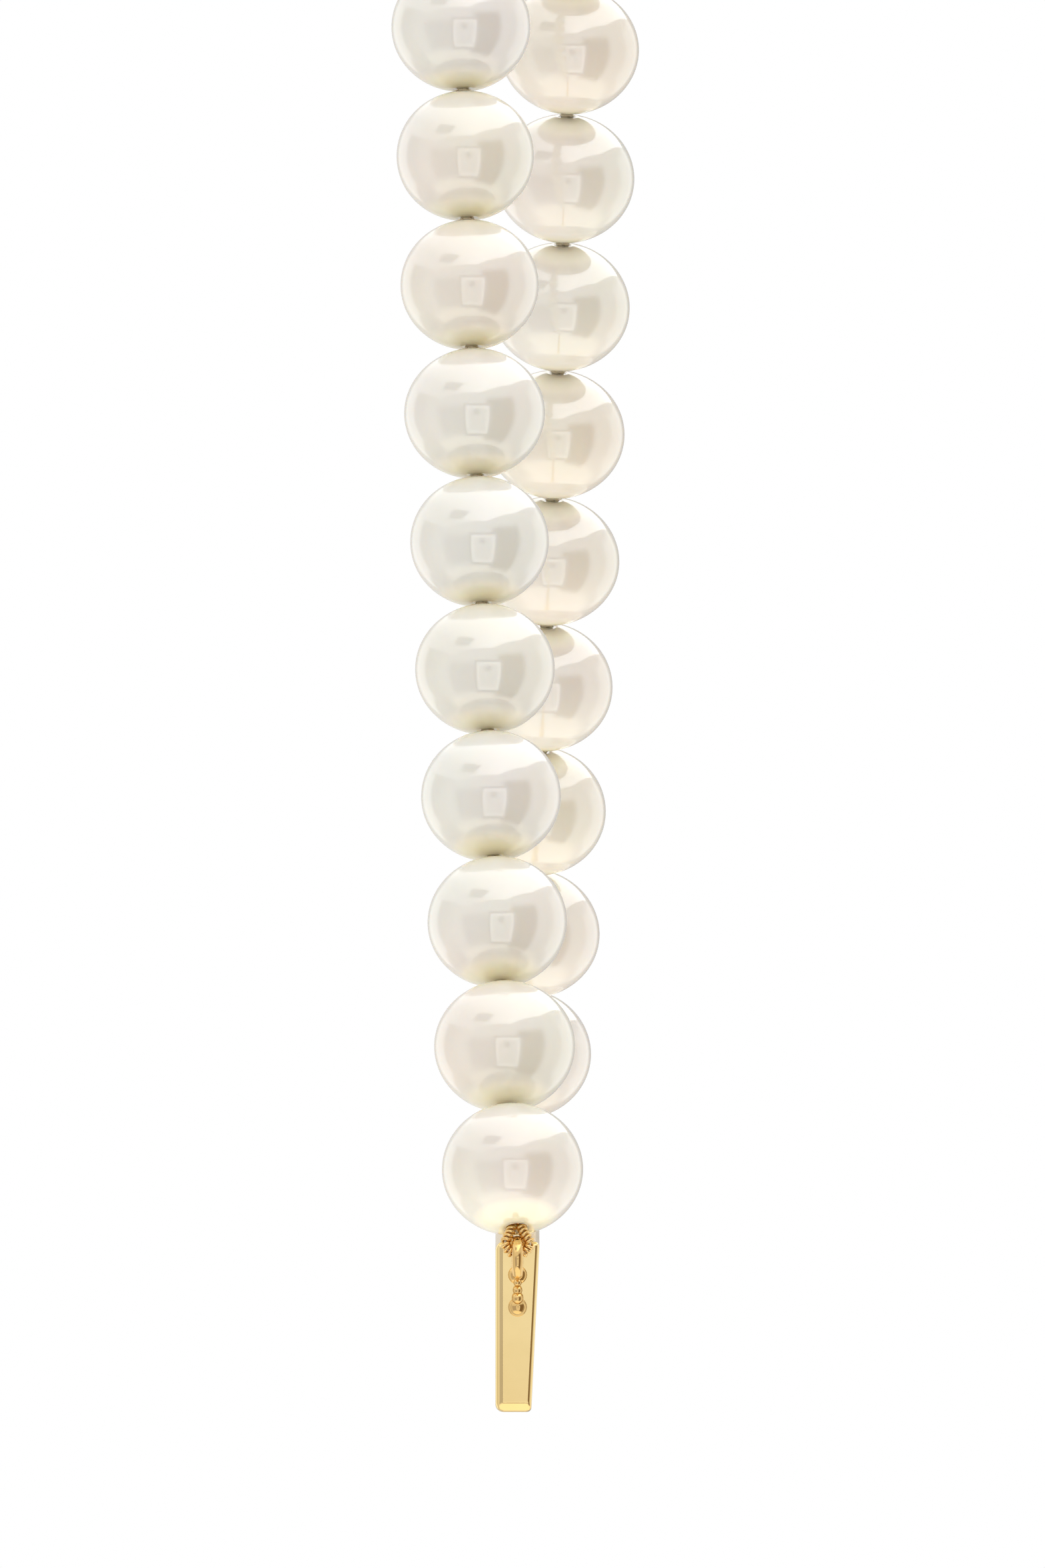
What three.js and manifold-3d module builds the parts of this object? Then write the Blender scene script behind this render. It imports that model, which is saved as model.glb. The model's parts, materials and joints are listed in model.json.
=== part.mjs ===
// Pearl necklace with a polished gold front bar, hanging from its clasp.
// Millimetres, +Z up. The front of the necklace faces -Y. The right strand ends at +X.
import * as THREE from 'three';
import { mergeVertices } from 'three/addons/utils/BufferGeometryUtils.js';
import Module from 'manifold-3d';

const wasm = await Module();
wasm.setup();

// ---- Driving dimensions -------------------------------------------------------------------

const PEARLS_PER_STRAND = 18;
const PEARL_RADIUS = 4.5; // across the thread
const PEARL_HALF_LENGTH = 4.15; // along the thread
const PEARL_GAP = 0.3; // left between neighbours for the knot
const DRILL_RADIUS = 0.5;
const THREAD_RADIUS = 0.18;

// A hanging strand leans most where it carries least: tan(lean) = LEAN / (1 + n / WEIGHT_RATIO)
// for the n-th pearl from the bottom. WEIGHT_RATIO is half the bar's weight in pearls.
const LEAN = 0.46;
const WEIGHT_RATIO = 7.5;

const CLASP_HALF_SPAN_Y = 5.5; // the strands start this far either side of the clasp's middle
const CLASP_DROP = 7.5; // the right strand starts this much lower than the left

const JUMP_RING_RADIUS = 2.1; // wire centre line
const JUMP_RING_WIRE = 0.4; // wire radius
const CLASP_EYE_RADIUS = 1.3;
const CLASP_EYE_WIRE = 0.35;
const EYE_REST_GAP = 0.3; // between a ring and the ring it hangs in

const GIMP_LOOP_RADIUS = 1.0;
const GIMP_RADIUS = 0.33;
const GIMP_OPENING = Math.PI / 3; // half the angle left open where the gimp enters the pearl
const GIMP_DROP = 1.0; // from the ring wire's centre to the pole of the next pearl

const BAR_HEIGHT = 11.1;
const BAR_THICKNESS = 2.85; // at the top
const BAR_FOOT_THICKNESS = 2.3; // the back leans in towards the foot
const BAR_EDGE = 0.6; // rounding of every edge
const BAR_TOP = -0.1; // below the line through the two bar rings' top wires
const BAR_RING_RADIUS = 1.05;
const BAR_RING_WIRE = 0.35;
const BAR_RING_STANDOFF = 0.85; // ring centre beyond the bar's end face
const BOSS_DEPTH = -4.3; // centre of the end boss, below the ring line
const BOSS_RADIUS = 0.6;
const SOLDER_GAP = 0.1;

const CLASP_BODY_LENGTH = 8.3; // both end plates included
const CLASP_WIDTH = 4.6;
const CLASP_HEIGHT = 3.0;
const CLASP_WALL = 0.5;
const END_PLATE = 0.8;
const FIT_GAP = 0.3;

// ---- Materials ----------------------------------------------------------------------------

const nacre = new THREE.MeshStandardMaterial({ color: 0xf1ebe0, roughness: 0.22, metalness: 0 });
const gold = new THREE.MeshStandardMaterial({ color: 0xe3c37c, roughness: 0.16, metalness: 1 });
const gimpGold = new THREE.MeshStandardMaterial({ color: 0xc79a4e, roughness: 0.34, metalness: 1 });
const silk = new THREE.MeshStandardMaterial({ color: 0xe9dcb8, roughness: 0.85, metalness: 0 });

// ---- Helpers ------------------------------------------------------------------------------

function namedMesh(name, geometry, material) {
  const mesh = new THREE.Mesh(geometry, material);
  mesh.name = name;
  return mesh;
}

function toSolid(geometry) {
  const bare = geometry.clone();
  bare.deleteAttribute('normal');
  bare.deleteAttribute('uv');
  const merged = mergeVertices(bare, 1e-5);
  return new wasm.Manifold(new wasm.Mesh({
    numProp: 3,
    vertProperties: new Float32Array(merged.attributes.position.array),
    triVerts: new Uint32Array(merged.index.array),
  }));
}

function fromSolid(solid) {
  const mesh = solid.getMesh();
  const geometry = new THREE.BufferGeometry();
  geometry.setAttribute('position', new THREE.BufferAttribute(mesh.vertProperties, 3));
  geometry.setIndex(new THREE.BufferAttribute(mesh.triVerts, 1));
  return geometry;
}

function block(sizeX, sizeY, sizeZ, x, y, z) {
  return new THREE.BoxGeometry(sizeX, sizeY, sizeZ).translate(x, y, z);
}

function roundTube(curve, radius, steps, sides) {
  const section = new THREE.Shape().absarc(0, 0, radius, 0, 2 * Math.PI);
  return new THREE.ExtrudeGeometry(section, { extrudePath: curve, steps, curveSegments: sides });
}

class Arc extends THREE.Curve {
  constructor(radius, from, to) {
    super();
    this.radius = radius;
    this.from = from;
    this.to = to;
  }

  getPoint(t) {
    const angle = this.from + (this.to - this.from) * t;
    return new THREE.Vector3(this.radius * Math.cos(angle), 0, this.radius * Math.sin(angle));
  }
}

// ---- Strand layout ------------------------------------------------------------------------

function leanOf(index) {
  return Math.atan(LEAN / (1 + index / WEIGHT_RATIO));
}

const PITCH = 2 * PEARL_HALF_LENGTH + PEARL_GAP;

// From the wire that a gimp loop hangs on to where the next pearl's half of a gap begins.
const LOOP_REACH = GIMP_DROP - PEARL_GAP / 2;

// Plan distance from a strand's start to its end, along its own vertical plane.
function strandReach() {
  let reach = LOOP_REACH * (Math.sin(leanOf(PEARLS_PER_STRAND - 1)) + Math.sin(leanOf(0)));
  for (let index = 0; index < PEARLS_PER_STRAND; index += 1) {
    reach += PITCH * Math.sin(leanOf(index));
  }
  return reach;
}

const HALF_RING_LINE = Math.sqrt(strandReach() ** 2 - CLASP_HALF_SPAN_Y ** 2);
const PLAN_DIRECTION = new THREE.Vector3(HALF_RING_LINE, CLASP_HALF_SPAN_Y, 0).normalize();

// Walks down one strand. Gives the start and end wire centres and each pearl's place and lean,
// keyed by the pearl's number, which is 1 at the bottom.
function layStrand(side) {
  const jumpTop = new THREE.Vector3(0, -side * CLASP_HALF_SPAN_Y, -side * CLASP_DROP / 2);
  const wireCentre = jumpTop.clone().setZ(jumpTop.z - 2 * JUMP_RING_RADIUS);
  const point = wireCentre.clone();
  const pearls = [];
  const directionFor = (lean) => PLAN_DIRECTION.clone()
    .multiplyScalar(side * Math.sin(lean))
    .setZ(-Math.cos(lean));
  point.addScaledVector(directionFor(leanOf(PEARLS_PER_STRAND - 1)), LOOP_REACH);
  for (let number = PEARLS_PER_STRAND; number >= 1; number -= 1) {
    const direction = directionFor(leanOf(number - 1));
    const top = point.clone();
    point.addScaledVector(direction, PITCH);
    pearls.push({ number, direction, top, centre: top.clone().lerp(point, 0.5) });
  }
  point.addScaledVector(directionFor(leanOf(0)), LOOP_REACH);
  return { side, jumpTop, wireCentre, pearls, end: point };
}

const DOWN = new THREE.Vector3(0, 0, -1);

function turnTo(direction) {
  return new THREE.Quaternion().setFromUnitVectors(DOWN, direction);
}

// ---- Pearls and thread --------------------------------------------------------------------

const PEARL_SIDES = 12;
const PEARL_STEPS = 8;

// A slightly flattened pearl drilled through its poles, turned about Z.
function drilledPearl() {
  const firstAngle = Math.asin(DRILL_RADIUS / PEARL_RADIUS);
  const profile = [];
  for (let step = 0; step <= PEARL_STEPS; step += 1) {
    const angle = firstAngle + (Math.PI - 2 * firstAngle) * step / PEARL_STEPS;
    profile.push(new THREE.Vector2(
      PEARL_RADIUS * Math.sin(angle),
      -PEARL_HALF_LENGTH * Math.cos(angle),
    ));
  }
  profile.push(profile[0].clone());
  return new THREE.LatheGeometry(profile, PEARL_SIDES).rotateX(Math.PI / 2);
}

function addPearls(group, strand, label) {
  const geometry = drilledPearl();
  for (const pearl of strand.pearls) {
    const number = String(pearl.number).padStart(2, '0');
    const mesh = namedMesh(`pearl_${label}_${number}`, geometry, nacre);
    mesh.position.copy(pearl.centre);
    mesh.quaternion.copy(turnTo(pearl.direction));
    group.add(mesh);
  }
}

// The silk runs through every drill hole, from the top pearl's upper pole to the lowest pole.
function addThread(group, strand, label) {
  const points = strand.pearls.map((pearl) => pearl.top.clone());
  const last = strand.pearls[strand.pearls.length - 1];
  points.push(last.centre.clone().addScaledVector(last.direction, PEARL_HALF_LENGTH));
  const path = new THREE.CatmullRomCurve3(points);
  const geometry = roundTube(path, THREAD_RADIUS, 4 * PEARLS_PER_STRAND, 2);
  group.add(namedMesh(`thread_${label}`, geometry, silk));
}

// ---- Gold wire loops ----------------------------------------------------------------------

// A gimp loop is a U in a plane that holds Y. It goes round the wire and opens towards the pearl.
function addGimpLoop(group, name, centre, awayFromPearl) {
  const middle = 1.5 * Math.PI;
  const half = Math.PI - GIMP_OPENING;
  const arc = new Arc(GIMP_LOOP_RADIUS, middle - half, middle + half);
  const geometry = roundTube(arc, GIMP_RADIUS, 14, 4).rotateZ(Math.PI / 2);
  const mesh = namedMesh(name, geometry, gimpGold);
  mesh.position.copy(centre);
  mesh.quaternion.copy(turnTo(awayFromPearl));
  group.add(mesh);
}

function addJumpRing(group, strand, label) {
  const geometry = new THREE.TorusGeometry(JUMP_RING_RADIUS, JUMP_RING_WIRE, 8, 24).rotateX(Math.PI / 2);
  const mesh = namedMesh(`jump_ring_${label}`, geometry, gold);
  mesh.position.copy(strand.jumpTop).setZ(strand.jumpTop.z - JUMP_RING_RADIUS);
  group.add(mesh);
}

// ---- Front bar ----------------------------------------------------------------------------

const RING_LINE = Math.hypot(2 * HALF_RING_LINE, CLASP_DROP);
const BAR_LENGTH = RING_LINE - 2 * BAR_RING_STANDOFF;

function barSolid() {
  const front = -BAR_THICKNESS / 2;
  const back = BAR_THICKNESS / 2;
  const footBack = front + BAR_FOOT_THICKNESS;
  const halfHeight = BAR_HEIGHT / 2;
  const section = new THREE.Shape();
  section.moveTo(front + BAR_EDGE, -halfHeight);
  section.lineTo(footBack - BAR_EDGE, -halfHeight);
  section.absarc(footBack - BAR_EDGE, -halfHeight + BAR_EDGE, BAR_EDGE, -Math.PI / 2, 0);
  section.lineTo(back, halfHeight - BAR_EDGE);
  section.absarc(back - BAR_EDGE, halfHeight - BAR_EDGE, BAR_EDGE, 0, Math.PI / 2);
  section.lineTo(front + BAR_EDGE, halfHeight);
  section.absarc(front + BAR_EDGE, halfHeight - BAR_EDGE, BAR_EDGE, Math.PI / 2, Math.PI);
  section.lineTo(front, -halfHeight + BAR_EDGE);
  section.absarc(front + BAR_EDGE, -halfHeight + BAR_EDGE, BAR_EDGE, Math.PI, 1.5 * Math.PI);
  const bevel = BAR_EDGE / 2;
  return new THREE.ExtrudeGeometry(section, {
    depth: BAR_LENGTH - 2 * bevel,
    curveSegments: 3,
    bevelThickness: bevel,
    bevelSize: bevel,
    bevelOffset: -bevel,
    bevelSegments: 2,
  })
    .translate(0, BAR_TOP - halfHeight, bevel - BAR_LENGTH / 2)
    .rotateX(Math.PI / 2)
    .rotateZ(Math.PI / 2);
}

// The soldered ring is open towards the bar, where its two ends meet the end face.
function barRing(side) {
  const endAngle = Math.acos(-(BAR_RING_STANDOFF - FIT_GAP) / BAR_RING_RADIUS);
  const arc = new Arc(BAR_RING_RADIUS, -endAngle, endAngle);
  const geometry = roundTube(arc, BAR_RING_WIRE, 18, 4);
  geometry.translate(BAR_LENGTH / 2 + BAR_RING_STANDOFF, 0, -BAR_RING_RADIUS);
  return side > 0 ? geometry : geometry.rotateZ(Math.PI);
}

// A small plain boss below the ring, with three granules leading up from it.
function endBoss(side) {
  const face = BAR_LENGTH / 2 + SOLDER_GAP;
  const discThickness = 0.3;
  const granuleRadius = 0.32;
  const granulePitch = 0.5;
  let solid = toSolid(new THREE.CylinderGeometry(BOSS_RADIUS, BOSS_RADIUS, discThickness, 16)
    .rotateZ(Math.PI / 2)
    .translate(face + discThickness / 2, 0, BOSS_DEPTH));
  for (let index = 0; index < 3; index += 1) {
    const height = BOSS_DEPTH + BOSS_RADIUS + index * granulePitch;
    solid = solid.add(toSolid(new THREE.SphereGeometry(granuleRadius, 10, 8)
      .translate(face + granuleRadius, 0, height)));
  }
  const geometry = fromSolid(solid);
  return side > 0 ? geometry : geometry.rotateZ(Math.PI);
}

function frontBar(rightEnd, leftEnd) {
  const group = new THREE.Group();
  group.position.copy(rightEnd).add(leftEnd).multiplyScalar(0.5);
  group.rotation.y = Math.atan2(CLASP_DROP, 2 * HALF_RING_LINE);
  group.add(namedMesh('front_bar', barSolid(), gold));
  group.add(namedMesh('bar_ring_right', barRing(1), gold));
  group.add(namedMesh('bar_ring_left', barRing(-1), gold));
  group.add(namedMesh('end_boss_right', endBoss(1), gold));
  group.add(namedMesh('end_boss_left', endBoss(-1), gold));
  return group;
}

// ---- Box clasp ----------------------------------------------------------------------------

// Own frame of the clasp: +X from the right strand's eye to the left one's, +Z up through the lid.
const CLASP_SPAN = Math.hypot(2 * CLASP_HALF_SPAN_Y, CLASP_DROP);
const MOUTH = CLASP_BODY_LENGTH / 2 - END_PLATE - FIT_GAP;
const NOTCH_WIDTH = 2.0;
const NOTCH_LENGTH = 2.4;

function claspBox() {
  const length = MOUTH + CLASP_BODY_LENGTH / 2;
  const middle = (MOUTH - CLASP_BODY_LENGTH / 2) / 2;
  const inner = block(
    length,
    CLASP_WIDTH - 2 * CLASP_WALL,
    CLASP_HEIGHT - 2 * CLASP_WALL,
    middle + CLASP_WALL,
    0,
    0,
  );
  const notch = block(2 * NOTCH_LENGTH, NOTCH_WIDTH, CLASP_HEIGHT, MOUTH, 0, CLASP_HEIGHT / 2);
  return fromSolid(toSolid(block(length, CLASP_WIDTH, CLASP_HEIGHT, middle, 0, 0))
    .subtract(toSolid(inner))
    .subtract(toSolid(notch)));
}

const LEAF_WIDTH = 3.0;
const TONGUE_LENGTH = 5.6;
const TONGUE_LEVEL = -0.55;
const LEAF_THICKNESS = 0.3;

function tongueBase() {
  const plateX = CLASP_BODY_LENGTH / 2 - END_PLATE / 2;
  const plate = toSolid(block(END_PLATE, CLASP_WIDTH, CLASP_HEIGHT, plateX, 0, 0));
  const leaf = toSolid(block(
    TONGUE_LENGTH,
    LEAF_WIDTH,
    LEAF_THICKNESS,
    plateX - TONGUE_LENGTH / 2,
    0,
    TONGUE_LEVEL,
  ));
  return fromSolid(plate.add(leaf));
}

// The sprung upper leaf folds back from the tongue's tip and carries the thumb piece.
function springLeaf() {
  const thumbHeight = 2.1;
  const start = CLASP_BODY_LENGTH / 2 - END_PLATE / 2 - TONGUE_LENGTH;
  const length = MOUTH - FIT_GAP - start;
  const level = 0.1;
  const leaf = toSolid(block(length, LEAF_WIDTH, LEAF_THICKNESS, start + length / 2, 0, level));
  const thumbWidth = NOTCH_WIDTH - 2 * FIT_GAP;
  const stemLength = 1.0;
  const stem = toSolid(block(
    stemLength,
    thumbWidth,
    thumbHeight,
    MOUTH - FIT_GAP - stemLength / 2,
    0,
    level + thumbHeight / 2,
  ));
  return fromSolid(leaf.add(stem));
}

// A small wire eye on a short stem, standing on one end of the clasp.
function claspEye(side) {
  const centreX = CLASP_SPAN / 2;
  const stemStart = CLASP_BODY_LENGTH / 2 + SOLDER_GAP;
  const stemEnd = centreX - CLASP_EYE_RADIUS;
  const eye = toSolid(new THREE.TorusGeometry(CLASP_EYE_RADIUS, CLASP_EYE_WIRE, 8, 20)
    .rotateX(Math.PI / 2)
    .translate(centreX, 0, 0));
  const stem = toSolid(new THREE.CylinderGeometry(CLASP_EYE_WIRE, CLASP_EYE_WIRE, stemEnd - stemStart, 8)
    .rotateZ(Math.PI / 2)
    .translate((stemStart + stemEnd) / 2, 0, 0));
  const geometry = fromSolid(eye.add(stem));
  return side > 0 ? geometry : geometry.rotateZ(Math.PI);
}

function boxClasp() {
  const group = new THREE.Group();
  group.rotation.set(Math.atan2(CLASP_DROP, 2 * CLASP_HALF_SPAN_Y), 0, Math.PI / 2);
  group.position.z = CLASP_EYE_RADIUS - CLASP_EYE_WIRE - JUMP_RING_WIRE - EYE_REST_GAP;
  group.add(namedMesh('clasp_box', claspBox(), gold));
  group.add(namedMesh('clasp_tongue', tongueBase(), gold));
  group.add(namedMesh('clasp_spring_leaf', springLeaf(), gold));
  group.add(namedMesh('clasp_eye_left', claspEye(1), gold));
  group.add(namedMesh('clasp_eye_right', claspEye(-1), gold));
  return group;
}

// ---- Assembly -----------------------------------------------------------------------------

const necklace = new THREE.Group();
const ends = {};
for (const [label, side] of [['right', 1], ['left', -1]]) {
  const strand = layStrand(side);
  addPearls(necklace, strand, label);
  addThread(necklace, strand, label);
  addJumpRing(necklace, strand, label);
  const up = strand.pearls[0].direction.clone().negate();
  addGimpLoop(necklace, `gimp_top_${label}`, strand.wireCentre, up);
  addGimpLoop(necklace, `gimp_low_${label}`, strand.end, DOWN);
  ends[label] = strand.end;
}
necklace.add(frontBar(ends.right, ends.left));
necklace.add(boxClasp());

export default necklace;
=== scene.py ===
"""Looks of a pearl necklace with a gold front bar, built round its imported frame. Metres, +Z up."""
import json
import math

import bmesh
import bpy
import numpy as np
from mathutils import Matrix, Vector


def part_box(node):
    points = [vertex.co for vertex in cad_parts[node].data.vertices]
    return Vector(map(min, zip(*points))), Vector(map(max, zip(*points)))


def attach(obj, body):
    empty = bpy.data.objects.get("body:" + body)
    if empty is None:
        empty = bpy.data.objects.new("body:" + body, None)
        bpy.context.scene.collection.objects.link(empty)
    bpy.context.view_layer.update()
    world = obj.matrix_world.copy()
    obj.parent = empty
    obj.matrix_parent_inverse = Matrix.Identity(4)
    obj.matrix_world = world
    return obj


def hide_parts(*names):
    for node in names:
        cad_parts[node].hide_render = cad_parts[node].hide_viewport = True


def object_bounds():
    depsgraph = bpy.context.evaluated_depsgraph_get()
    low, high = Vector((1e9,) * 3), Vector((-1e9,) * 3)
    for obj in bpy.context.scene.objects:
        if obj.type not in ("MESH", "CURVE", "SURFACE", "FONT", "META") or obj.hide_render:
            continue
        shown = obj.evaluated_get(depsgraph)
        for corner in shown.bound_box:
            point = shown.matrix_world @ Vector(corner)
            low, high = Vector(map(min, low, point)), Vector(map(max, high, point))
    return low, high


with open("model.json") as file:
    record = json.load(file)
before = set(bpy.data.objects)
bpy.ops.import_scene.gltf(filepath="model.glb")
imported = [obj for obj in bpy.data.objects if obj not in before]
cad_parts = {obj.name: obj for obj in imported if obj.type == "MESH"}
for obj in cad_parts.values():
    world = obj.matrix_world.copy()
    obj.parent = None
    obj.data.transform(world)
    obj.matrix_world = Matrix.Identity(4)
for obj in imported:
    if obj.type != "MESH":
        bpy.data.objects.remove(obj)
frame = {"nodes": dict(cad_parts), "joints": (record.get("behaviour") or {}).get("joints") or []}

CAD_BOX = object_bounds()
MM = 0.001

# ---- Sizes ---------------------------------------------------------------------------------

PEARLS_PER_STRAND = 18
PEARL_RADIUS = 4.5 * MM
POLE_HEIGHT = 4.22 * MM  # centre to pole, so neighbours all but touch
GIMP_REACH = 5.15 * MM  # pearl centre to the wire that its gimp loop goes round
DRILL_RADIUS = 0.5 * MM
WIDE_DRILL_RADIUS = 0.72 * MM  # opened up where both legs of the gimp go in
DRILL_LIP = 0.07 * MM  # the chamfer at the mouth of the hole
BORE_DEPTH = 0.98 * MM  # how far in from each end the hole keeps that end's width
PEARL_SIDES = 80
PEARL_STEPS = 44

# How far a pearl is out of true, as parts of its radius.
SMALLEST, LARGEST = -0.012, 0.014
MOST_OVAL = 0.007
MOST_THREE_SIDED = 0.004
RINGED = 0.002
RING_PITCH = 1.6 * MM

# The nacre's tone: 0 is white and 1 is cream. Painted light round a drill hole (paler, to lift the
# shade where pearls touch, and a golden glow) starts this part of the way from the pearl's middle to its
# pole.
STRAND_WARMTH = {"right": 0.3, "left": 0.5}
WARMTH_SPREAD = 0.28
WARMTH_DRIFT = 0.06  # round one pearl
PAINTED_LIGHT_FROM = 0.78
PAINTED_LIGHT_FADE = 0.15
UPPER_PAINTED_GLOW = 0.2  # how strong the painted golden glow is round the upper hole, against 1 for the lower

THREAD_PLY = 0.1 * MM  # a ply's radius
THREAD_TWIST = 0.9 * MM
KNOT_RADIUS = 0.4 * MM
KNOT_STEPS = 48

GIMP_LOOP = 0.78 * MM  # middle of the wire that it goes round to the middle of the gimp
GIMP_COIL = 0.24 * MM  # middle of the coil to the middle of its wire
GIMP_WIRE = 0.12 * MM  # the wire's radius
GIMP_PITCH = 0.29 * MM
GIMP_CORE = 0.09 * MM  # radius of the silk inside
GIMP_TUCK = 0.9 * MM  # how far each leg goes into the drill hole
GIMP_LEG = 0.34 * MM  # a leg's distance from the hole's middle

BAR_STANDOFF = 0.85 * MM  # a ring's middle beyond the bar's end face
BAR_TOP = 0.1 * MM  # below the line through both rings' top wires
BAR_HEIGHT = 11.1 * MM
BAR_THICKNESS = 2.85 * MM
BAR_FOOT_THICKNESS = 2.3 * MM  # the back leans in towards the foot
BAR_FOOT_EDGE = 0.95 * MM
BAR_FRONT_EDGE = 0.55 * MM
BAR_BACK_EDGE = 0.35 * MM
BAR_RING_RADIUS = 1.05 * MM
BAR_RING_SWEEP = 152  # degrees each way from its outermost point
SOLDER_RADIUS = 0.62 * MM
SOLDER_DEPTH = 0.34 * MM
WIRE = 0.35 * MM
BOSS_DEPTH = 4.3 * MM  # the boss's middle below the same line
BOSS_RADIUS = 0.6 * MM
GRANULE_RADII = (0.38 * MM, 0.31 * MM, 0.27 * MM)  # the largest next to the boss
GRANULE_PITCH = 0.5 * MM

JUMP_RING_RADIUS = 2.1 * MM
JUMP_RING_WIRE = 0.4 * MM
JUMP_RING_JOINT = 30  # degrees above the level, where the ring is sawn through
EYE_RADIUS = 1.3 * MM
CLASP_RISE = 0.25 * MM  # the clasp's middle above the line between the strands' top pivots
CLASP_HALF_LENGTH = 4.15 * MM

X, Y, Z = Vector((1, 0, 0)), Vector((0, 1, 0)), Vector((0, 0, 1))
DOWN = Vector((0, 0, -1))


# ---- Shader nodes --------------------------------------------------------------------------

def add_node(tree, kind, inputs=None, **settings):
    """A node with its settings and inputs. An input is a plain value or another node's socket."""
    node = tree.nodes.new("ShaderNode" + kind)
    for name, value in settings.items():
        setattr(node, name, value)
    for name, value in (inputs or {}).items():
        socket = node.inputs[name]
        if isinstance(value, bpy.types.NodeSocket):
            tree.links.new(value, socket)
        else:
            socket.default_value = value
    return node


def new_material(name):
    """An empty node material: its tree, its Principled shader and its object coordinates."""
    material = bpy.data.materials.new(name)
    material.use_nodes = True
    tree = material.node_tree
    tree.nodes.clear()
    shader = add_node(tree, "BsdfPrincipled")
    output = add_node(tree, "OutputMaterial")
    tree.links.new(shader.outputs[0], output.inputs[0])
    place = add_node(tree, "TexCoord").outputs["Object"]
    return material, tree, shader, place


def noise(tree, place, scale, detail=3.0, roughness=0.5):
    inputs = {"Vector": place, "Scale": scale, "Detail": detail, "Roughness": roughness}
    return add_node(tree, "TexNoise", inputs).outputs["Fac"]


def stretched(tree, place, scale):
    return add_node(tree, "Mapping", {"Vector": place, "Scale": scale}).outputs[0]


def math_node(tree, operation, a, b):
    return add_node(tree, "Math", {0: a, 1: b}, operation=operation).outputs[0]


def remap(tree, value, low, high, to_low, to_high, kind="LINEAR"):
    inputs = {"Value": value, "From Min": low, "From Max": high, "To Min": to_low, "To Max": to_high}
    return add_node(tree, "MapRange", inputs, interpolation_type=kind).outputs[0]


def mix(tree, factor, a, b, blend="MIX"):
    node = add_node(tree, "Mix", data_type="RGBA", blend_type=blend)
    for socket, value in ((node.inputs[0], factor), (node.inputs[6], a), (node.inputs[7], b)):
        if isinstance(value, bpy.types.NodeSocket):
            tree.links.new(value, socket)
        else:
            socket.default_value = value
    return node.outputs[2]


def bump(tree, height, strength, distance):
    return add_node(tree, "Bump", {"Height": height, "Strength": strength, "Distance": distance}).outputs[0]


# ---- Materials -----------------------------------------------------------------------------

def nacre():
    """Cream nacre with a soft body and drifting pink and green, painted paler round both drill holes to
    lift the shade where pearls touch, with a painted golden glow mostly round the lower hole.
    """
    material, tree, shader, place = new_material("nacre")
    warmth = add_node(tree, "Attribute", attribute_name="warmth").outputs["Fac"]
    painted_pole_light = add_node(tree, "Attribute", attribute_name="painted_pole_light").outputs["Fac"]
    painted_glow = add_node(tree, "Attribute", attribute_name="painted_glow").outputs["Fac"]
    cloud = noise(tree, place, 170.0, 4.0, 0.55)
    drift = noise(tree, stretched(tree, place, (1.0, 1.3, 0.8)), 95.0, 2.0)
    tone = math_node(tree, "ADD", warmth, remap(tree, cloud, 0.3, 0.7, -0.16, 0.16))
    colour = mix(tree, tone, (0.77, 0.755, 0.72, 1), (0.82, 0.755, 0.64, 1))
    overtone = mix(tree, remap(tree, drift, 0.38, 0.62, 0, 1), (0.97, 1.0, 0.955, 1), (1.0, 0.95, 0.955, 1))
    colour = mix(tree, 0.5, colour, overtone, "MULTIPLY")
    # Painted light: paler nacre near both drill holes, to lift the shade where touching pearls meet.
    colour = mix(tree, painted_pole_light, colour, (1.0, 0.97, 0.9, 1))
    # Painted glow: a golden tint round the drill holes, mostly the lower one, for light coming through the
    # pearl.
    painted_glow_strength = math_node(tree, "MULTIPLY", painted_glow, remap(tree, cloud, 0.3, 0.7, 0.5, 1.0))
    colour = mix(tree, painted_glow_strength, colour, (1.0, 0.87, 0.58, 1))
    tree.links.new(colour, shader.inputs["Base Color"])
    tree.links.new(remap(tree, cloud, 0.3, 0.7, 0.1, 0.18), shader.inputs["Roughness"])
    fine = noise(tree, place, 2400.0, 3.0)
    waves = noise(tree, stretched(tree, place, (1.0, 1.0, 2.2)), 420.0, 2.0)
    relief = math_node(tree, "ADD", math_node(tree, "MULTIPLY", fine, 0.25), waves)
    tree.links.new(bump(tree, relief, 0.22, 0.03 * MM), shader.inputs["Normal"])
    shader.inputs["IOR"].default_value = 2.0
    shader.inputs["Subsurface Weight"].default_value = 0.6
    shader.inputs["Subsurface Radius"].default_value = (1.0, 0.82, 0.6)
    shader.inputs["Subsurface Scale"].default_value = 2.0 * MM
    shader.inputs["Coat Weight"].default_value = 0.8
    shader.inputs["Coat Roughness"].default_value = 0.04
    shader.inputs["Coat IOR"].default_value = 1.9
    return material


def metal(name, colour, deep, smooth, rough, scratch):
    """Polished gold: slight colour drift, faint wipe marks and fine hairlines."""
    material, tree, shader, place = new_material(name)
    cloud = noise(tree, place, 120.0, 4.0)
    drift = remap(tree, cloud, 0.35, 0.7, 0, 1)
    tree.links.new(mix(tree, drift, colour, deep), shader.inputs["Base Color"])
    wipes = noise(tree, stretched(tree, place, (0.25, 1.0, 1.6)), 900.0, 5.0, 0.65)
    tree.links.new(remap(tree, wipes, 0.35, 0.7, smooth, rough), shader.inputs["Roughness"])
    hairs = noise(tree, stretched(tree, place, (0.06, 1.0, 1.0)), 6000.0, 2.0)
    relief = math_node(tree, "ADD", math_node(tree, "MULTIPLY", hairs, 0.3), wipes)
    tree.links.new(bump(tree, relief, scratch, 0.01 * MM), shader.inputs["Normal"])
    shader.inputs["Metallic"].default_value = 1.0
    return material


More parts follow.
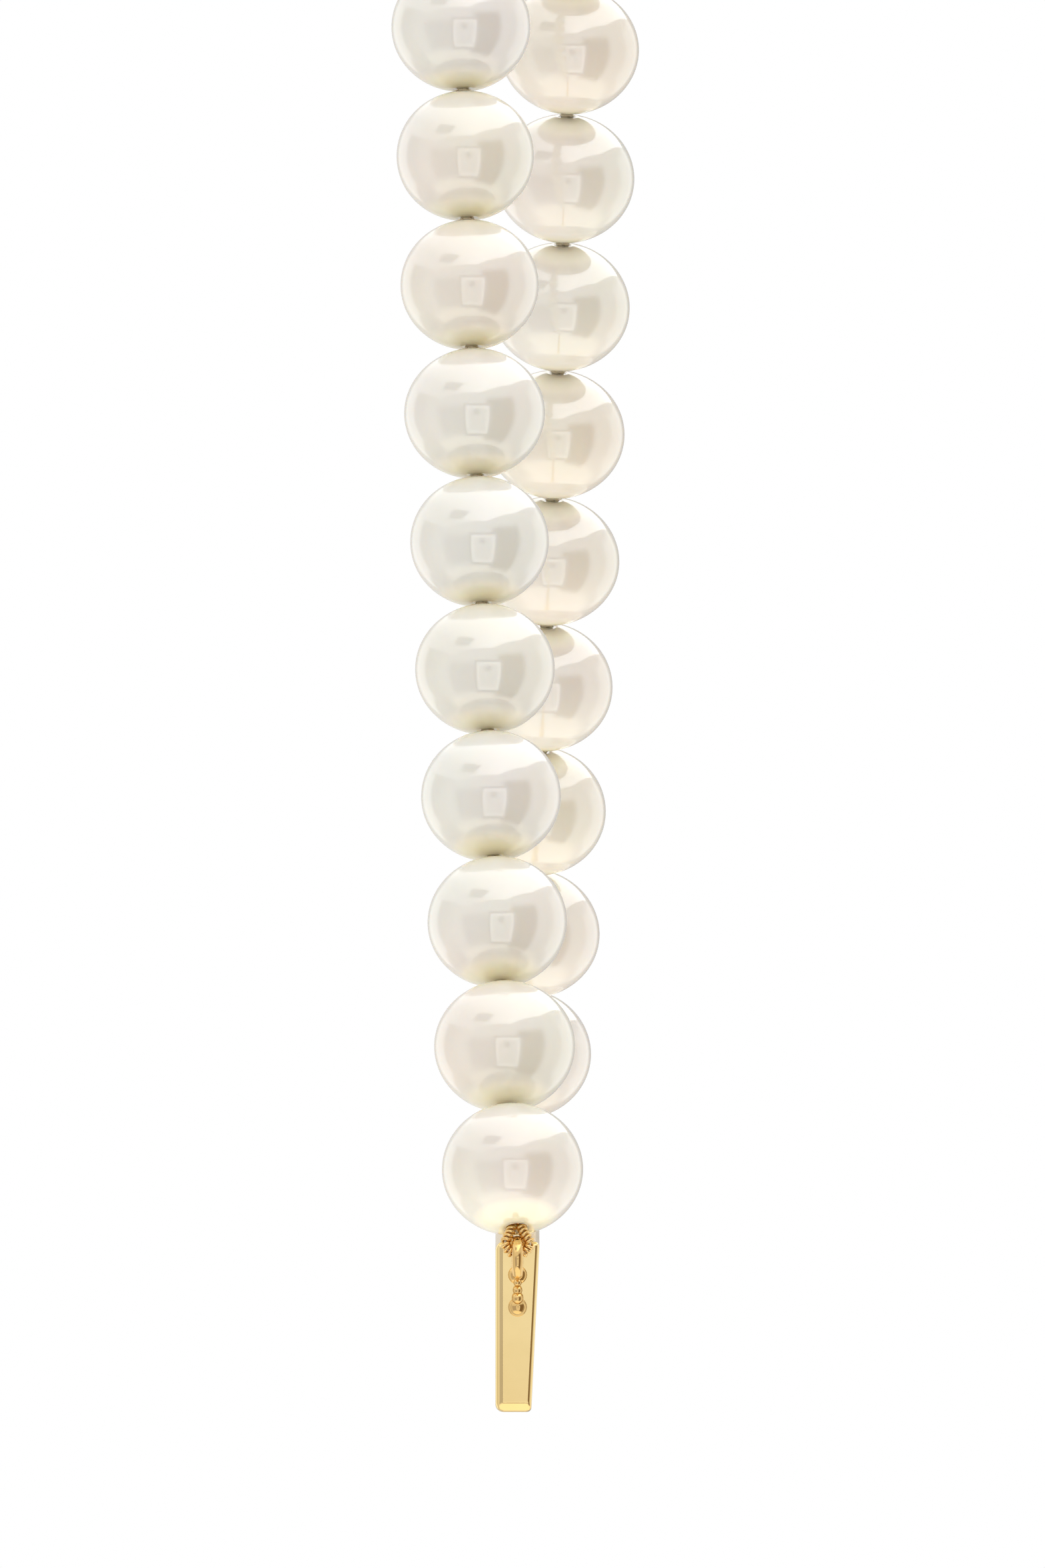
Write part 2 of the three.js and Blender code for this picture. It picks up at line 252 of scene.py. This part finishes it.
def silk():
    """Cream silk: fine fibres along the ply and a soft sheen."""
    material, tree, shader, place = new_material("silk")
    fibres = noise(tree, stretched(tree, place, (1.0, 1.0, 0.2)), 9000.0, 4.0)
    colour = mix(tree, fibres, (0.78, 0.66, 0.42, 1), (0.92, 0.85, 0.66, 1))
    tree.links.new(colour, shader.inputs["Base Color"])
    tree.links.new(remap(tree, fibres, 0.3, 0.7, 0.6, 0.85), shader.inputs["Roughness"])
    tree.links.new(bump(tree, fibres, 0.4, 0.02 * MM), shader.inputs["Normal"])
    shader.inputs["Sheen Weight"].default_value = 0.4
    return material


def plain_floor():
    """Matt off-white paper."""
    material, tree, shader, place = new_material("floor")
    colour = mix(tree, noise(tree, place, 0.6), (0.86, 0.86, 0.86, 1), (0.9, 0.9, 0.9, 1))
    tree.links.new(colour, shader.inputs["Base Color"])
    shader.inputs["Roughness"].default_value = 0.9
    return material


NACRE = nacre()
GOLD = metal("gold", (0.97, 0.755, 0.37, 1), (0.91, 0.68, 0.305, 1), 0.06, 0.15, 0.05)
# Painted shade: the ring and trim are the bar's gold, coloured deeper to stand for the dark reflections and
# shadow round them.
PAINTED_SHADE_GOLD = metal("painted_shade_gold", (0.87, 0.59, 0.24, 1), (0.66, 0.42, 0.15, 1), 0.05, 0.14, 0.08)
GIMP_GOLD = metal("gimp_gold", (0.93, 0.66, 0.29, 1), (0.78, 0.5, 0.2, 1), 0.18, 0.34, 0.15)
SILK = silk()


# ---- Mesh making ---------------------------------------------------------------------------

def add_piece(name, mesh, material, body, nodes=()):
    """Puts a mesh in the scene as a piece of the object that rides on a body."""
    for polygon in mesh.polygons:
        polygon.use_smooth = True
    mesh.materials.append(material)
    piece = bpy.data.objects.new(name, mesh)
    bpy.context.scene.collection.objects.link(piece)
    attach(piece, body)
    if nodes:
        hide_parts(*nodes)
    return piece


def mesh_from(name, points, faces):
    mesh = bpy.data.meshes.new(name)
    mesh.from_pydata([tuple(p) for p in points], [], faces)
    mesh.validate()
    return mesh


def joined(*shapes):
    """Several (points, faces) shapes as one."""
    points, faces = [], []
    for shape_points, shape_faces in shapes:
        start = len(points)
        points.extend(shape_points)
        faces.extend(tuple(start + i for i in face) for face in shape_faces)
    return points, faces


def grid_faces(rows, columns, close_rows):
    """Quads of a grid whose columns close on themselves. Points are stored row by row."""
    faces = []
    for row in range(rows if close_rows else rows - 1):
        for column in range(columns):
            after = (column + 1) % columns
            below = (row + 1) % rows
            faces.append((row * columns + column, row * columns + after,
                          below * columns + after, below * columns + column))
    return faces


def axes_along(direction):
    """Two unit vectors square to a direction and to each other."""
    side = direction.cross(Z if abs(direction.z) < 0.9 else X).normalized()
    return side, direction.cross(side).normalized()


def rings(profile, centre, axis, sides):
    """The points of a (radius, height) profile turned round an axis, a ring for each profile point."""
    side, other = axes_along(axis)
    points = []
    for radius, height in profile:
        for column in range(sides):
            angle = 2 * math.pi * column / sides
            around = side * math.cos(angle) + other * math.sin(angle)
            points.append(centre + axis * height + around * radius)
    return points


def turned(profile, centre, axis, sides):
    """A profile that closes on itself, turned round an axis that it doesn't touch."""
    return rings(profile, centre, axis, sides), grid_faces(len(profile), sides, True)


def domed(profile, centre, axis, sides):
    """An open profile turned round an axis, with both its ends closed by a flat face."""
    faces = grid_faces(len(profile), sides, False)
    return rings(profile, centre, axis, sides), capped(faces, len(profile), sides)


def capped(faces, rows, columns):
    """Adds a flat face at each end of an open grid."""
    last = (rows - 1) * columns
    faces.append(tuple(reversed(range(columns))))
    faces.append(tuple(last + column for column in range(columns)))
    return faces


def carried_frames(line):
    """Side vectors along a line of points, turned as little as possible from one to the next."""
    frames = []
    side = None
    for index, point in enumerate(line):
        ahead = line[min(index + 1, len(line) - 1)]
        behind = line[max(index - 1, 0)]
        along = (ahead - behind).normalized()
        side = axes_along(along)[0] if side is None else (side - along * side.dot(along)).normalized()
        frames.append((point, side, along.cross(side)))
    return frames


def tube(line, radius, sides):
    """A round tube along a line of points, with flat ends."""
    points = []
    for point, side, other in carried_frames(line):
        for column in range(sides):
            angle = 2 * math.pi * column / sides
            points.append(point + (side * math.cos(angle) + other * math.sin(angle)) * radius)
    return points, capped(grid_faces(len(line), sides, False), len(line), sides)


def resampled(line, step):
    """Points a fixed step apart along a line of points."""
    corners = np.array([tuple(p) for p in line])
    lengths = np.concatenate([[0], np.cumsum(np.linalg.norm(np.diff(corners, axis=0), axis=1))])
    places = np.linspace(0, lengths[-1], max(2, int(lengths[-1] / step)))
    columns = [np.interp(places, lengths, corners[:, i]) for i in range(3)]
    return [Vector(p) for p in zip(*columns)]


def wound(line, radius, pitch, phase=0.0, steps=14):
    """The helix that winds round a line, as points."""
    fine = resampled(line, pitch / steps)
    helix = []
    for index, (point, side, other) in enumerate(carried_frames(fine)):
        angle = 2 * math.pi * index / steps + phase
        helix.append(point + (side * math.cos(angle) + other * math.sin(angle)) * radius)
    return helix


def smooth_line(corners, steps=10):
    """A Catmull-Rom curve through its corners."""
    ends = [corners[0] * 2 - corners[1], *corners, corners[-1] * 2 - corners[-2]]
    line = []
    for a, b, c, d in zip(ends, ends[1:], ends[2:], ends[3:]):
        for step in range(steps):
            t = step / steps
            line.append(0.5 * (b * 2 + (c - a) * t + (a * 2 - b * 5 + c * 4 - d) * t ** 2
                               + (b * 3 - a - c * 3 + d) * t ** 3))
    return line + [corners[-1]]


# ---- Strand layout, read from the frame ----------------------------------------------------

PIVOTS = {joint["child"]: Vector(joint["pos_m"]) for joint in frame["joints"]}


def body_name(label, number):
    return f"{label}_{number:02d}"


def pearl_centre(label, number):
    low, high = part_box(f"pearl_{label}_{number:02d}")
    return (low + high) / 2


def pearl_axis(label, number):
    """Down the strand, along the pearl's drill hole."""
    centre = pearl_centre(label, number)
    if number == 1:
        return (centre - PIVOTS[body_name(label, 1)]).normalized()
    return (PIVOTS[body_name(label, number - 1)] - centre).normalized()


def low_wire(label):
    """Centre of the bar ring's wire where the strand's lower gimp loop goes round it."""
    return pearl_centre(label, 1) + pearl_axis(label, 1) * GIMP_REACH


def top_wire(label):
    number = PEARLS_PER_STRAND
    return pearl_centre(label, number) - pearl_axis(label, number) * GIMP_REACH


# ---- Pearls --------------------------------------------------------------------------------

def pearl_profile(upper_hole, lower_hole):
    """(radius, height) points: down the outside from the upper hole, then up the bore."""
    first = math.asin(upper_hole / PEARL_RADIUS)
    last = math.pi - math.asin(lower_hole / PEARL_RADIUS)
    profile = []
    for step in range(PEARL_STEPS + 1):
        angle = first + (last - first) * step / PEARL_STEPS
        profile.append((PEARL_RADIUS * math.sin(angle), -POLE_HEIGHT * math.cos(angle)))
    upper_mouth, lower_mouth = profile[0][1], profile[-1][1]
    profile.append((lower_hole - DRILL_LIP, lower_mouth - DRILL_LIP))
    profile.append((lower_hole - DRILL_LIP, lower_mouth - BORE_DEPTH))
    profile.append((upper_hole - DRILL_LIP, upper_mouth + BORE_DEPTH))
    profile.append((upper_hole - DRILL_LIP, upper_mouth + DRILL_LIP))
    return profile


def add_pearl(label, number, rng, warmth):
    """One drilled pearl, a little out of round, with its own tone. Its drill holes are marked for the
    nacre's painted light: paler round both of them, and a golden glow mostly round the lower one."""
    upper = WIDE_DRILL_RADIUS if number == PEARLS_PER_STRAND else DRILL_RADIUS
    lower = WIDE_DRILL_RADIUS if number == 1 else DRILL_RADIUS
    centre, axis = pearl_centre(label, number), pearl_axis(label, number)
    points, faces = turned(pearl_profile(upper, lower), centre, axis, PEARL_SIDES)
    place = np.array([tuple(p) for p in points]) - np.array(centre)
    along = place @ np.array(axis)
    out = place - np.outer(along, np.array(axis))
    side, other = axes_along(axis)
    angle = np.arctan2(out @ np.array(other), out @ np.array(side))
    girth = np.clip(np.linalg.norm(out, axis=1) / PEARL_RADIUS, 0, 1)
    size = rng.uniform(SMALLEST, LARGEST)
    oval = rng.uniform(0, MOST_OVAL)
    three_sided = rng.uniform(0, MOST_THREE_SIDED)
    turn_a, turn_b, turn_c = rng.uniform(0, 2 * math.pi, 3)
    swell = size + oval * np.cos(2 * angle + turn_a) + three_sided * np.cos(3 * angle + turn_b)
    swell += RINGED * np.sin(along / RING_PITCH + turn_c)
    place += out * (swell * girth ** 2)[:, None]
    mesh = mesh_from("pearl", place + np.array(centre), faces)
    # Masks for the painted light: paler near both drill holes, a golden glow mostly near the lower one.
    painted_pole_light = np.clip((np.abs(along) / POLE_HEIGHT - PAINTED_LIGHT_FROM) / PAINTED_LIGHT_FADE, 0, 1)
    painted_glow = painted_pole_light * np.where(along > 0, 1.0, UPPER_PAINTED_GLOW)
    drift = WARMTH_DRIFT * np.sin(angle + turn_a) * girth
    for key, values in (("painted_pole_light", painted_pole_light), ("painted_glow", painted_glow), ("warmth", warmth + drift)):
        attribute = mesh.attributes.new(key, "FLOAT", "POINT")
        attribute.data.foreach_set("value", np.asarray(values, np.float32))
    name = f"pearl_{label}_{number:02d}"
    add_piece(f"nacre_{label}_{number:02d}", mesh, NACRE, body_name(label, number), [name])


def add_pearls():
    """The right strand is whiter, and the left one warmer."""
    rng = np.random.default_rng(7)
    for label in ("right", "left"):
        for number in range(1, PEARLS_PER_STRAND + 1):
            warmth = STRAND_WARMTH[label] + rng.uniform(-WARMTH_SPREAD, WARMTH_SPREAD)
            add_pearl(label, number, rng, warmth)


# ---- Thread --------------------------------------------------------------------------------

def twisted_ply(line):
    """Two plies of silk wound round each other."""
    turns = (wound(line, THREAD_PLY, THREAD_TWIST, phase) for phase in (0.0, math.pi))
    return joined(*(tube(helix, THREAD_PLY, 6) for helix in turns))


def knot(centre, axis):
    """A small flat overhand knot: two turns of the thread round itself."""
    side, other = axes_along(axis)
    line = []
    for step in range(KNOT_STEPS + 1):
        turn = 4 * math.pi * step / KNOT_STEPS
        radius = KNOT_RADIUS - THREAD_PLY * 1.2 - 0.06 * MM * math.cos(1.5 * turn)
        height = 0.07 * MM * math.sin(1.5 * turn)
        line.append(centre + (side * math.cos(turn) + other * math.sin(turn)) * radius + axis * height)
    return tube(line, THREAD_PLY, 8)


def add_threads():
    """Each pearl carries its own stretch of thread, with a knot below it."""
    for label in ("right", "left"):
        for number in range(1, PEARLS_PER_STRAND + 1):
            centre, axis = pearl_centre(label, number), pearl_axis(label, number)
            half = POLE_HEIGHT + 0.08 * MM
            top = centre - axis * (half if number < PEARLS_PER_STRAND else POLE_HEIGHT - MM)
            foot = centre + axis * (half if number > 1 else POLE_HEIGHT - MM)
            shapes = [twisted_ply([top, foot])]
            if number > 1:
                shapes.append(knot(foot, axis))
            body = body_name(label, number)
            mesh = mesh_from("thread", *joined(*shapes))
            nodes = [f"thread_{label}"] if number == PEARLS_PER_STRAND else []
            add_piece(f"silk_{label}_{number:02d}", mesh, SILK, body, nodes)


# ---- Gimp ----------------------------------------------------------------------------------

def gimp_line(centre, towards_wire, wire, bottom):
    """The U of a gimp loop: out of the drill hole, round the wire and back in."""
    inside = centre + towards_wire * (POLE_HEIGHT - GIMP_TUCK)
    mouth = centre + towards_wire * (POLE_HEIGHT + 0.02 * MM)
    arc = [wire + (Y * math.cos(angle) + bottom * math.sin(angle)) * GIMP_LOOP
           for angle in (math.pi * step / 8 for step in range(9))]
    leg = Y * GIMP_LEG
    return smooth_line([inside + leg, mouth + leg, *arc, mouth - leg, inside - leg])


def add_gimps():
    """Coiled wire round a silk core, at both ends of each strand."""
    for label in ("right", "left"):
        low = gimp_line(pearl_centre(label, 1), pearl_axis(label, 1), low_wire(label), DOWN)
        number = PEARLS_PER_STRAND
        up = -pearl_axis(label, number)
        top = gimp_line(pearl_centre(label, number), up, top_wire(label), up)
        for name, line, owner in (("low", low, 1), ("top", top, number)):
            coil = tube(wound(line, GIMP_COIL, GIMP_PITCH), GIMP_WIRE, 7)
            body = body_name(label, owner)
            node = f"gimp_{name}_{label}"
            add_piece(f"coil_{name}_{label}", mesh_from("coil", *coil), GIMP_GOLD, body, [node])
            core = mesh_from("core", *tube(resampled(line, 0.15 * MM), GIMP_CORE, 8))
            add_piece(f"silk_core_{name}_{label}", core, SILK, body)


# ---- Front bar -----------------------------------------------------------------------------

def bar_matrix():
    """From the bar's own frame, +X along it to the right end, to the row's."""
    right, left = low_wire("right"), low_wire("left")
    along = (right - left).normalized()
    up = along.cross(Y).normalized()
    turn = Matrix((along, Y, up)).transposed().to_4x4()
    return Matrix.Translation((right + left) / 2) @ turn


BAR = bar_matrix()
HALF_LINE = (low_wire("right") - low_wire("left")).length / 2
HALF_BAR = HALF_LINE - BAR_STANDOFF


def place(shape, matrix):
    points, faces = shape
    return [matrix @ Vector(p) for p in points], faces


def add_bar():
    """A flat bar with polished rounded edges. The rounding is widest at the foot of each end."""
    solid = bmesh.new()
    bmesh.ops.create_cube(solid, size=1.0)
    weight = solid.edges.layers.float.new("bevel_weight_edge")
    for edge in solid.edges:
        first, second = (vertex.co for vertex in edge.verts)
        at_end = first.x * second.x > 0
        if at_end and first.z < 0 and second.z < 0:
            edge[weight] = 1.0
        elif first.y < 0 and second.y < 0:
            edge[weight] = BAR_FRONT_EDGE / BAR_FOOT_EDGE
        else:
            edge[weight] = BAR_BACK_EDGE / BAR_FOOT_EDGE
    front = -BAR_THICKNESS / 2
    for vertex in solid.verts:
        thickness = BAR_THICKNESS if vertex.co.z > 0 else BAR_FOOT_THICKNESS
        vertex.co.x *= 2 * HALF_BAR
        vertex.co.y = front + (vertex.co.y + 0.5) * thickness
        vertex.co.z = vertex.co.z * BAR_HEIGHT - BAR_TOP - BAR_HEIGHT / 2
    solid.transform(BAR)
    mesh = bpy.data.meshes.new("bar")
    solid.to_mesh(mesh)
    solid.free()
    piece = add_piece("polished_bar", mesh, GOLD, "bar", ["front_bar"])
    rounding = piece.modifiers.new("rounding", "BEVEL")
    rounding.limit_method = "WEIGHT"
    rounding.width = BAR_FOOT_EDGE
    rounding.segments = 6
    rounding.harden_normals = True


def end_ring(side):
    """The ring at one end of the bar, its ends sunk into their solder."""
    line = []
    for step in range(41):
        angle = math.radians(BAR_RING_SWEEP * (step / 20 - 1))
        line.append(Vector((side * (HALF_LINE + BAR_RING_RADIUS * math.cos(angle)), 0,
                            -BAR_RING_RADIUS + BAR_RING_RADIUS * math.sin(angle))))
    shapes = [tube(line, WIRE, 20)]
    for height in (-0.1 * MM, 2 * -BAR_RING_RADIUS + 0.1 * MM):
        foot = Vector((side * (HALF_BAR - 0.05 * MM), 0, height - 0.22 * MM))
        profile = [(SOLDER_RADIUS * math.cos(t), SOLDER_DEPTH * math.sin(t))
                   for t in np.linspace(0, 1.35, 7)]
        shapes.append(domed(profile, foot, X * side, 20))
    return joined(*shapes)


def end_trim(side):
    """A plain boss with a grooved rim, and three granules that lead up from it."""
    out = X * side
    face = Vector((side * (HALF_BAR - 0.03 * MM), 0, -BOSS_DEPTH))
    rim = BOSS_RADIUS
    boss = [(rim, 0), (rim, 0.2 * MM), (0.9 * rim, 0.28 * MM), (0.78 * rim, 0.22 * MM),
            (0.68 * rim, 0.26 * MM), (0.45 * rim, 0.36 * MM), (0.15 * rim, 0.4 * MM)]
    shapes = [domed(boss, face, out, 28)]
    for index, radius in enumerate(GRANULE_RADII):
        foot = face + Z * (BOSS_RADIUS + index * GRANULE_PITCH)
        bead = [(radius * math.cos(t), radius * (0.75 + math.sin(t))) for t in np.linspace(-0.7, 1.45, 10)]
        shapes.append(domed(bead, foot, out, 18))
    return joined(*shapes)


def add_bar_ends():
    """The soldered ring and its trim, at both ends of the bar, in a deeper gold than the bar's that paints
    shade on them.
    """
    for label, side in (("right", 1), ("left", -1)):
        ring = mesh_from("ring", *place(end_ring(side), BAR))
        add_piece(f"soldered_ring_{label}", ring, PAINTED_SHADE_GOLD, "bar", [f"bar_ring_{label}"])
        trim = mesh_from("trim", *place(end_trim(side), BAR))
        add_piece(f"granulation_{label}", trim, PAINTED_SHADE_GOLD, "bar", [f"end_boss_{label}"])


# ---- Clasp ---------------------------------------------------------------------------------

def add_jump_rings():
    """Round wire rings, each with its sawn joint closed."""
    for label in ("right", "left"):
        centre = top_wire(label) + Z * JUMP_RING_RADIUS
        line = []
        for step in range(73):
            angle = math.radians(JUMP_RING_JOINT + 1 + 358 * step / 72)
            line.append(centre + (X * math.cos(angle) + Z * math.sin(angle)) * JUMP_RING_RADIUS)
        mesh = mesh_from("jump_ring", *tube(line, JUMP_RING_WIRE, 20))
        body = body_name(label, PEARLS_PER_STRAND)
        add_piece(f"wire_ring_{label}", mesh, GOLD, body, [f"jump_ring_{label}"])


def add_clasp_eyes():
    """A wire eye on a stem with a solder collar, at each end of the clasp."""
    starts = {label: PIVOTS[body_name(label, PEARLS_PER_STRAND)] for label in ("right", "left")}
    middle = (starts["right"] + starts["left"]) / 2 + Z * CLASP_RISE
    for label in ("right", "left"):
        out = (starts[label] - middle + Z * CLASP_RISE).normalized()
        up = X.cross(out)
        span = (starts["left"] - starts["right"]).length / 2
        centre = middle + out * span
        line = [centre + (out * math.cos(t) + up * math.sin(t)) * EYE_RADIUS
                for t in np.linspace(0, 2 * math.pi, 49)]
        stem = [middle + out * (CLASP_HALF_LENGTH - 0.1 * MM), centre - out * EYE_RADIUS]
        collar = [(0.75 * MM, -0.05 * MM), (0.7 * MM, 0.12 * MM),
                  (0.5 * MM, 0.3 * MM), (0.36 * MM, 0.55 * MM)]
        foot = middle + out * CLASP_HALF_LENGTH
        shapes = joined(tube(line, WIRE, 18), tube(resampled(stem, 0.2 * MM), WIRE, 18),
                        domed(collar, foot, out, 24))
        mesh = mesh_from("eye", *shapes)
        add_piece(f"wire_eye_{label}", mesh, GOLD, "clasp", [f"clasp_eye_{label}"])


def soften(node, name, body, width):
    """A copy of a flat-sided node with small polished roundings on its edges."""
    solid = bmesh.new()
    solid.from_mesh(frame["nodes"][node].data)
    bmesh.ops.remove_doubles(solid, verts=solid.verts, dist=0.001 * MM)
    bmesh.ops.dissolve_limit(solid, angle_limit=math.radians(1), verts=solid.verts, edges=solid.edges)
    mesh = bpy.data.meshes.new(name)
    solid.to_mesh(mesh)
    solid.free()
    piece = add_piece(name, mesh, GOLD, body, [node])
    rounding = piece.modifiers.new("rounding", "BEVEL")
    rounding.limit_method = "ANGLE"
    rounding.width = width
    rounding.segments = 4
    rounding.harden_normals = True


def add_clasp():
    """The box clasp with its eyes, and the jump rings that hang in them."""
    soften("clasp_box", "case", "clasp", 0.14 * MM)
    soften("clasp_tongue", "tongue", "clasp", 0.1 * MM)
    soften("clasp_spring_leaf", "sprung_leaf", "spring_leaf", 0.08 * MM)
    add_jump_rings()
    add_clasp_eyes()


# ---- Studio --------------------------------------------------------------------------------

VIEW_AZIMUTH = math.radians(90.0)
VIEW_ELEVATION = math.radians(-0.4)
CAMERA_DISTANCE = 3.0
FRAME_HEIGHT = 100.8 * MM  # what the long side of the picture spans at the nearest pearls
AIM_SIDE = 0.64 * MM  # the picture's middle, from the right strand's lowest pearl
AIM_UP = 24.75 * MM
SOFTBOX_HEIGHT = 0.8
FILL_REACH = 0.4
FILL_DROP = 0.3  # below the necklace's lowest point
FLOOR_REACH = 12.0
FLOOR_DROP = 0.35  # below the same point
FADE_FROM, FADE_TO = -0.9, 0.3  # where along Y a light's strength starts and stops changing


def add_camera():
    """Level with the necklace, looking along the bar."""
    back = Vector((math.sin(VIEW_AZIMUTH) * math.cos(VIEW_ELEVATION),
                   -math.cos(VIEW_AZIMUTH) * math.cos(VIEW_ELEVATION), math.sin(VIEW_ELEVATION)))
    right = Z.cross(back).normalized()
    up = back.cross(right)
    aim = pearl_centre("right", 1) + right * AIM_SIDE + up * AIM_UP
    data = bpy.data.cameras.new("camera")
    data.sensor_width = 36.0
    data.lens = data.sensor_width * CAMERA_DISTANCE / FRAME_HEIGHT
    data.clip_start, data.clip_end = 0.1, 100.0
    camera = bpy.data.objects.new("camera", data)
    bpy.context.scene.collection.objects.link(camera)
    camera.matrix_world = Matrix.Translation(aim + back * CAMERA_DISTANCE) @ Matrix(
        (right, up, back)).transposed().to_4x4()
    bpy.context.scene.camera = camera


def flat_panel(name, corners, height, material):
    """A flat stage panel with its corners given in plan."""
    mesh = mesh_from(name, [(x, y, height) for x, y in corners], [tuple(range(len(corners)))])
    mesh.materials.append(material)
    panel = bpy.data.objects.new(name, mesh)
    bpy.context.scene.collection.objects.link(panel)
    return panel


def square(reach):
    """Corners in plan of a square round the origin."""
    return [(-reach, -reach), (reach, -reach), (reach, reach), (-reach, reach)]


def glowing(name, colour, left, right):
    """A light cloth whose strength changes from left to right as the camera sees it."""
    material = bpy.data.materials.new(name)
    material.use_nodes = True
    tree = material.node_tree
    tree.nodes.clear()
    place = add_node(tree, "TexCoord").outputs["Object"]
    across = add_node(tree, "SeparateXYZ", {0: place}).outputs[1]
    strength = remap(tree, across, FADE_FROM, FADE_TO, left, right)
    emission = add_node(tree, "Emission", {"Color": colour, "Strength": strength})
    output = add_node(tree, "OutputMaterial")
    tree.links.new(emission.outputs[0], output.inputs[0])
    return material


def add_softbox():
    """A large overhead softbox, weaker on its left, with its front corner cut off, and a grey bracket
    just below it. Their corners are in plan, in softbox heights above the strands' middle."""
    h = SOFTBOX_HEIGHT
    plan = [(1.5, -2.4), (1.5, 0.35), (0.25, 1.2), (-2.6, 1.5), (-2.6, -2.4)]
    level = pearl_centre("right", 8).z + h
    corners = [(h * x, h * y) for x, y in plan]
    white = glowing("softbox_cloth", (1.0, 0.995, 0.98, 1), 1.1, 1.9)
    softbox = flat_panel("softbox", corners, level, white)
    softbox.visible_camera = False
    bracket = [(0.35, -0.8), (0.75, -0.3), (1.15, -0.75), (0.7, -1.3)]
    corners = [(h * x, h * y) for x, y in bracket]
    grey = glowing("bracket_cloth", (1.0, 0.99, 0.98, 1), 0.6, 0.6)
    flag = flat_panel("bracket", corners, level - 0.01, grey)
    flag.visible_camera = False
    flag.visible_shadow = False


def add_fill():
    """A bright card below the object that lights its undersides and isn't mirrored in it."""
    white = glowing("fill_card", (1.0, 0.98, 0.93, 1), 2.0, 2.0)
    card = flat_panel("fill", square(FILL_REACH), CAD_BOX[0].z - FILL_DROP, white)
    card.visible_camera = False
    card.visible_glossy = False


def between(tree, value, low, high, soft):
    """1 where a value lies between two limits, with soft edges."""
    rise = remap(tree, value, low - soft, low + soft, 0, 1, "SMOOTHSTEP")
    fall = remap(tree, value, high - soft, high + soft, 1, 0, "SMOOTHSTEP")
    return math_node(tree, "MULTIPLY", rise, fall)


# What the pearls mirror. On the camera's side: a pale window with its frame and a lamp in it, a dim
# wall to its left and a dark doorway to its right. Behind: two pale windows, each beside a dim wall.
# Degrees: azimuth from and to, with 0 at the camera and positive to its right, elevation from and
# to, soft edge, colour.
ROOM_PATCHES = (
    (-178, -90, -60, 35, 12, (0.74, 0.72, 0.68)),
    (-152, -118, -30, 20, 3, (1.15, 1.15, 1.12)),
    (150, 178, -50, 30, 8, (0.55, 0.53, 0.5)),
    (108, 148, -34, 22, 4, (1.1, 1.1, 1.07)),
    (-62, -10, -42, 8, 8, (0.58, 0.56, 0.58)),
    (22, 70, -52, 22, 7, (0.25, 0.18, 0.11)),
    (-17, 30, -47, 13, 1.5, (0.36, 0.34, 0.36)),
    (-13, 26, -42, 9, 1.5, (1.28, 1.28, 1.27)),
    (-9, 21, -37, 4, 2, (0.92, 0.92, 0.93)),
    (0, 10, -8, 2, 3, (0.45, 0.45, 0.47)),
)


def add_room():
    """A pale room with a bright ground and the patches above. The camera itself sees plain white."""
    world = bpy.data.worlds.new("room")
    bpy.context.scene.world = world
    world.use_nodes = True
    tree = world.node_tree
    tree.nodes.clear()
    place = add_node(tree, "SeparateXYZ", {0: add_node(tree, "TexCoord").outputs["Generated"]}).outputs
    azimuth = math_node(tree, "ARCTAN2", place[1], place[0])
    elevation = add_node(tree, "Math", {0: place[2]}, operation="ARCSINE").outputs[0]
    front = remap(tree, place[0], -0.1, 0.75, 0, 1, "SMOOTHSTEP")
    colour = mix(tree, front, (0.85, 0.83, 0.8, 1), (0.93, 0.93, 0.93, 1))
    ground = remap(tree, elevation, -0.7, -0.95, 0, 1, "SMOOTHSTEP")
    colour = mix(tree, ground, colour, (1.3, 1.24, 1.1, 1))
    for *angles, shade in ROOM_PATCHES:
        left, right, low, high, edge = (math.radians(angle) for angle in angles)
        across = between(tree, azimuth, left, right, edge)
        inside = math_node(tree, "MULTIPLY", across, between(tree, elevation, low, high, edge))
        colour = mix(tree, inside, colour, (*shade, 1))
    seen = add_node(tree, "LightPath").outputs["Is Camera Ray"]
    colour = mix(tree, seen, colour, (1, 1, 1, 1))
    background = add_node(tree, "Background", {"Color": colour, "Strength": 1.0})
    output = add_node(tree, "OutputWorld")
    tree.links.new(background.outputs[0], output.inputs[0])


def add_studio():
    """A pale floor well below the necklace, the two lights and the room."""
    floor = flat_panel("floor", square(FLOOR_REACH), CAD_BOX[0].z - FLOOR_DROP, plain_floor())
    floor.visible_glossy = False  # the room's own lower half lights the object
    floor.visible_diffuse = False
    add_softbox()
    add_fill()
    add_room()
    bpy.context.scene.view_settings.view_transform = "Standard"


# ---- Assembly ------------------------------------------------------------------------------

add_camera()
add_pearls()
add_threads()
add_gimps()
add_bar()
add_bar_ends()
add_clasp()
add_studio()
